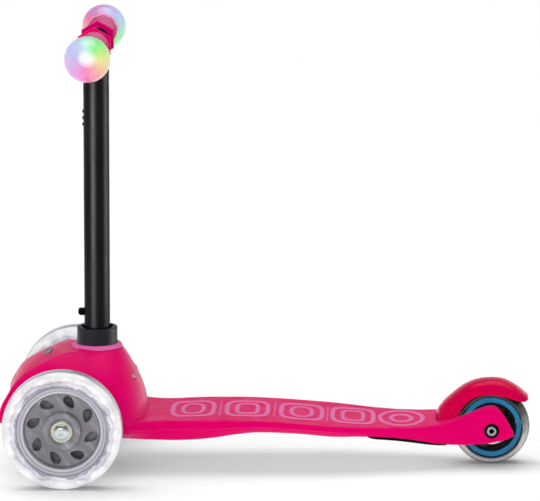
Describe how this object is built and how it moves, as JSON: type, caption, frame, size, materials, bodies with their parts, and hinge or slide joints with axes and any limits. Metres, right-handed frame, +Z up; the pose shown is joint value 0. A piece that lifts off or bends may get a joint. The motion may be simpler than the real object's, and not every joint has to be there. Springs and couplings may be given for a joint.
{
  "type": "kick scooter",
  "caption": "Small child's lean-to-steer kick scooter with light-up front wheels, moulded deck, foot brake over the rear wheel and a lift-out T-bar with glowing grip ends.",
  "frame": {"origin": "on the ground, half-way along the scooter, on its middle plane", "axes": "the scooter rolls towards -X, the rider's left is -Y, and +Z is up"},
  "size_m": [0.529, 0.278, 0.4535],
  "materials": {
    "magenta_plastic": "fine-grained moulded nylon, magenta, slightly polished where shoes rub",
    "pink_plastic": "light pink moulded plastic ring",
    "black_plastic": "black glass-filled nylon, satin",
    "black_tube": "aluminium tube, satin black powder coat",
    "grip_rubber": "soft light-pink rubber with fine raised dashes, magenta six-sided flange",
    "glowing_ball": "milky translucent plastic lit from inside in changing rainbow colours",
    "glowing_tyre": "clear cast polyurethane, lit from inside",
    "clear_rubber": "clear cast polyurethane over a darker core",
    "smoked_clear": "smoke-tinted clear polycarbonate, polished",
    "led_light": "milky ring over small white lamps",
    "blue_plastic": "blue moulded plastic band seen through the clear tyre",
    "pad_rubber": "hard black brake rubber",
    "zinc_steel": "zinc-plated steel",
    "dark_steel": "dark plated steel",
    "badge_metal": "blank satin metal badge, no mark"
  },
  "bodies": {
    "chassis": {"deck": "magenta_plastic", "underside_plate": "black_plastic", "front_shell": "magenta_plastic", "collar_ring": "pink_plastic", "front_badge": "badge_metal", "socket_bolt": "zinc_steel", "frame_bolt_left": "zinc_steel", "frame_bolt_right": "zinc_steel", "shell_screw_left": "zinc_steel", "shell_screw_right": "zinc_steel", "steering_frame": "black_plastic", "kingpin_left": "zinc_steel", "kingpin_right": "zinc_steel", "steering_spring_left": "zinc_steel", "steering_spring_right": "zinc_steel", "stem_socket": "black_plastic", "rear_axle_bolt": "dark_steel", "rear_axle_nut": "dark_steel", "rear_spacer": "zinc_steel", "brake_hinge_pin": "zinc_steel", "brake_spring": "zinc_steel"},
    "tie_rod": {"tie_rod": "zinc_steel"},
    "rear_wheel": {"rear_tyre": "clear_rubber", "rear_band": "blue_plastic", "rear_core": "black_plastic", "rear_bearing_left": "zinc_steel", "rear_bearing_right": "zinc_steel"},
    "brake": {"brake_fender": "magenta_plastic", "brake_pad": "pad_rubber"},
    "t_bar": {"t_bar_tube": "black_tube", "grip_left": "grip_rubber", "grip_right": "grip_rubber", "light_ball_left": "glowing_ball", "light_ball_right": "glowing_ball", "light_module_left": "black_plastic", "light_module_right": "black_plastic", "button_clip": "zinc_steel"},
    "release_button": {"release_button": "black_plastic"},
    "knuckle_left": {"knuckle_left": "black_plastic", "tie_rod_pin_left": "zinc_steel", "axle_bolt_left": "zinc_steel", "axle_washer_left": "zinc_steel", "magnet_spacer_left": "dark_steel"},
    "front_wheel_left": {"front_tyre_left": "glowing_tyre", "front_core_left": "smoked_clear", "led_ring_left": "led_light", "outer_bearing_left": "zinc_steel", "inner_bearing_left": "zinc_steel"},
    "knuckle_right": {"knuckle_right": "black_plastic", "tie_rod_pin_right": "zinc_steel", "axle_bolt_right": "zinc_steel", "axle_washer_right": "zinc_steel", "magnet_spacer_right": "dark_steel"},
    "front_wheel_right": {"front_tyre_right": "glowing_tyre", "front_core_right": "smoked_clear", "led_ring_right": "led_light", "outer_bearing_right": "zinc_steel", "inner_bearing_right": "zinc_steel"}
  },
  "joints": [
    {"name": "steer_left", "type": "hinge", "parent": "chassis", "child": "knuckle_left", "pos_m": [-0.2015, -0.068, 0.06], "axis": [-0.342, 0, 0.9397], "range_deg": [-12, 12], "stiffness_Nm_per_rad": 3},
    {"name": "steer_right", "type": "hinge", "parent": "chassis", "child": "knuckle_right", "pos_m": [-0.2015, 0.068, 0.06], "axis": [-0.342, 0, 0.9397], "range_deg": [-12, 12]},
    {"name": "tie_rod_slide", "type": "slide", "parent": "chassis", "child": "tie_rod", "axis": [0, 1, 0], "range_m": [-0.0043, 0.0043], "deforming": ["steering_spring_left", "steering_spring_right"]},
    {"name": "front_left_roll", "type": "hinge", "parent": "knuckle_left", "child": "front_wheel_left", "pos_m": [-0.2015, -0.106, 0.06], "axis": [0, 1, 0], "continuous": true},
    {"name": "front_right_roll", "type": "hinge", "parent": "knuckle_right", "child": "front_wheel_right", "pos_m": [-0.2015, 0.106, 0.06], "axis": [0, 1, 0], "continuous": true},
    {"name": "rear_roll", "type": "hinge", "parent": "chassis", "child": "rear_wheel", "pos_m": [0.2255, 0, 0.039], "axis": [0, 1, 0], "continuous": true},
    {"name": "brake_press", "type": "hinge", "parent": "chassis", "child": "brake", "pos_m": [0.1805, 0, 0.044], "axis": [0, 1, 0], "range_deg": [0, 3.2], "stiffness_Nm_per_rad": 2, "springref_deg": -1.72},
    {"name": "t_bar_lift", "type": "slide", "parent": "chassis", "child": "t_bar", "axis": [0.0104, 0, 0.9999], "range_m": [0, 0.06]},
    {"name": "button_press", "type": "slide", "parent": "t_bar", "child": "release_button", "axis": [1, 0, -0.01], "range_m": [0, 0.005], "stiffness_N_per_m": 200, "springref_m": -0.001, "deforming": ["button_clip"]}
  ],
  "couplings": [
    {"joint": "steer_right", "follows": "steer_left", "ratio": 1},
    {"joint": "tie_rod_slide", "follows": "steer_left", "m_per_rad": -0.02}
  ]
}
